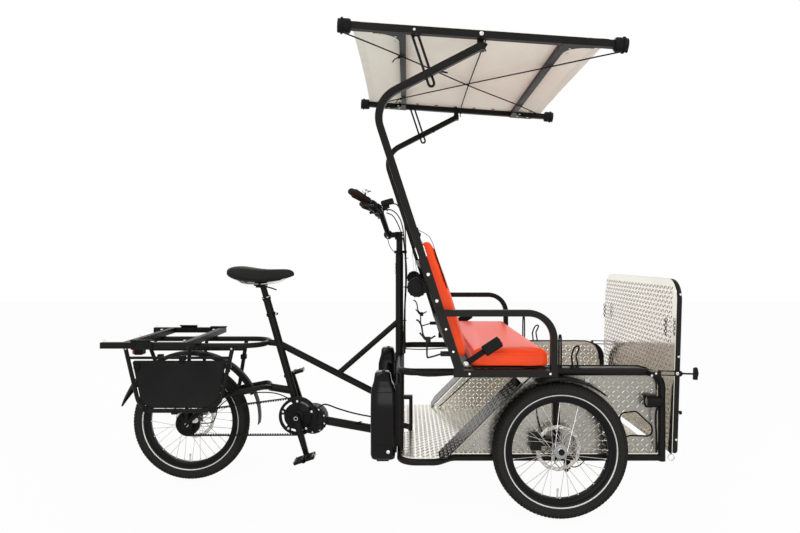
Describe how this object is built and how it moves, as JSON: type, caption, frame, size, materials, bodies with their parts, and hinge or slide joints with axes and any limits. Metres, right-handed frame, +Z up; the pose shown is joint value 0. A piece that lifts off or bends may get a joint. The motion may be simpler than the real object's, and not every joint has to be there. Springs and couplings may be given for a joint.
{
  "type": "cycle rickshaw",
  "caption": "Cycle rickshaw: steered passenger box with padded bench, tilting canopy and drop-down gate, pushed by a belt-driven, motor-assisted rear bicycle frame.",
  "frame": {"origin": "centre of the footprint, on the ground", "axes": "+X forward, +Y to the rider's left, +Z up"},
  "size_m": [2.4062, 1.2758, 1.868],
  "materials": {
    "frame_paint": "satin",
    "bar_black": "anodised satin",
    "motor_casing": "satin",
    "saddle_skin": "fine grain",
    "belt_rubber": "matt",
    "crank_metal": "anodised satin",
    "pedal_plastic": "moulded",
    "pannier_panel": "heavy weave",
    "tyre_rubber": "matt",
    "rim_black": "anodised satin",
    "rotor_steel": "ground",
    "tread_plate": "raised tread, mill finish",
    "battery_case": "gloss",
    "lamp_housing": "moulded",
    "rear_lens": "clear red",
    "latch_steel": "zinc plated",
    "grip_rubber": "matt",
    "seat_vinyl": "glossy vinyl",
    "belt_webbing": "woven",
    "canopy_canvas": "plain weave canvas",
    "stay_metal": "satin"
  },
  "bodies": {
    "rear_frame": {"main_frame": "frame_paint", "motor": "motor_casing", "seat_post": "frame_paint", "saddle": "saddle_skin", "rack_loop": "frame_paint", "rack_deck": "frame_paint", "pannier_hoops": "frame_paint", "pannier_right": "pannier_panel", "rear_fender": "frame_paint", "rear_light": "rear_lens", "drive_belt": "belt_rubber"},
    "rear_wheel": {"rear_tyre": "tyre_rubber", "rear_wheel": "rim_black", "rear_pulley": "crank_metal", "rear_rotor": "rotor_steel"},
    "cranks": {"crankset": "crank_metal"},
    "pedal_right": {"pedal_right": "pedal_plastic"},
    "pedal_left": {"pedal_left": "pedal_plastic"},
    "front_unit": {"upper_frame": "frame_paint", "lower_frame": "frame_paint", "box_posts": "frame_paint", "axle_posts": "frame_paint", "floor_plate": "tread_plate", "side_wall_left": "tread_plate", "side_wall_right": "tread_plate", "splash_panels": "tread_plate", "front_fenders": "frame_paint", "battery_left": "battery_case", "battery_right": "battery_case", "side_lamps": "lamp_housing", "latch_anchors": "latch_steel", "handlebar": "bar_black", "steering_post": "frame_paint", "stem": "bar_black", "grips": "grip_rubber", "bar_controls": "bar_black", "bench_frame": "frame_paint", "back_frame": "frame_paint", "seat_cushion": "seat_vinyl", "back_cushion": "seat_vinyl", "armrests": "frame_paint", "seat_belts": "belt_webbing", "canopy_posts": "frame_paint"},
    "gate": {"gate_frame": "frame_paint", "gate_plate": "tread_plate", "gate_latches": "latch_steel"},
    "right_front_wheel": {"right_front_tyre": "tyre_rubber", "right_front_wheel": "rim_black", "right_front_rotor": "rotor_steel"},
    "left_front_wheel": {"left_front_tyre": "tyre_rubber", "left_front_wheel": "rim_black", "left_front_rotor": "rotor_steel"},
    "canopy": {"canopy_frame": "frame_paint", "canopy_cover": "canopy_canvas"},
    "stay_right": {"canopy_stay_right": "stay_metal"},
    "stay_left": {"canopy_stay_left": "stay_metal"}
  },
  "joints": [
    {"name": "steering", "type": "hinge", "parent": "rear_frame", "child": "front_unit", "pos_m": [0.05041, 0, 0.553], "axis": [0, 0, 1], "range_deg": [-30, 30]},
    {"name": "rear_wheel_spin", "type": "hinge", "parent": "rear_frame", "child": "rear_wheel", "pos_m": [-0.89159, 0, 0.261], "axis": [0, 1, 0], "continuous": true},
    {"name": "crank_turn", "type": "hinge", "parent": "rear_frame", "child": "cranks", "pos_m": [-0.40459, 0, 0.294], "axis": [0, 1, 0], "continuous": true},
    {"name": "pedal_right_spin", "type": "hinge", "parent": "cranks", "child": "pedal_right", "pos_m": [-0.35829, -0.141, 0.13251], "axis": [0, 1, 0], "continuous": true},
    {"name": "pedal_left_spin", "type": "hinge", "parent": "cranks", "child": "pedal_left", "pos_m": [-0.4509, 0.141, 0.45549], "axis": [0, 1, 0], "continuous": true},
    {"name": "right_front_wheel_spin", "type": "hinge", "parent": "front_unit", "child": "right_front_wheel", "pos_m": [0.67341, -0.456, 0.261], "axis": [0, 1, 0], "continuous": true},
    {"name": "left_front_wheel_spin", "type": "hinge", "parent": "front_unit", "child": "left_front_wheel", "pos_m": [0.67341, 0.456, 0.261], "axis": [0, 1, 0], "continuous": true},
    {"name": "gate_fold", "type": "hinge", "parent": "front_unit", "child": "gate", "pos_m": [1.11441, 0, 0.229], "axis": [0, 1, 0], "range_deg": [0, 100]},
    {"name": "canopy_tilt", "type": "hinge", "parent": "front_unit", "child": "canopy", "pos_m": [0.35241, 0, 1.807], "axis": [0, 1, 0], "range_deg": [-18, 5]},
    {"name": "stay_right_swing", "type": "hinge", "parent": "canopy", "child": "stay_right", "pos_m": [0.111, -0.596, 1.82388], "axis": [0, 1, 0], "range_deg": [-2.45, 7.52]},
    {"name": "stay_left_swing", "type": "hinge", "parent": "canopy", "child": "stay_left", "pos_m": [0.111, 0.596, 1.82388], "axis": [0, 1, 0], "range_deg": [-2.45, 7.52]}
  ],
  "couplings": [
    {"joint": "stay_right_swing", "follows": "canopy_tilt", "ratio": -0.39},
    {"joint": "stay_left_swing", "follows": "canopy_tilt", "ratio": -0.39}
  ]
}
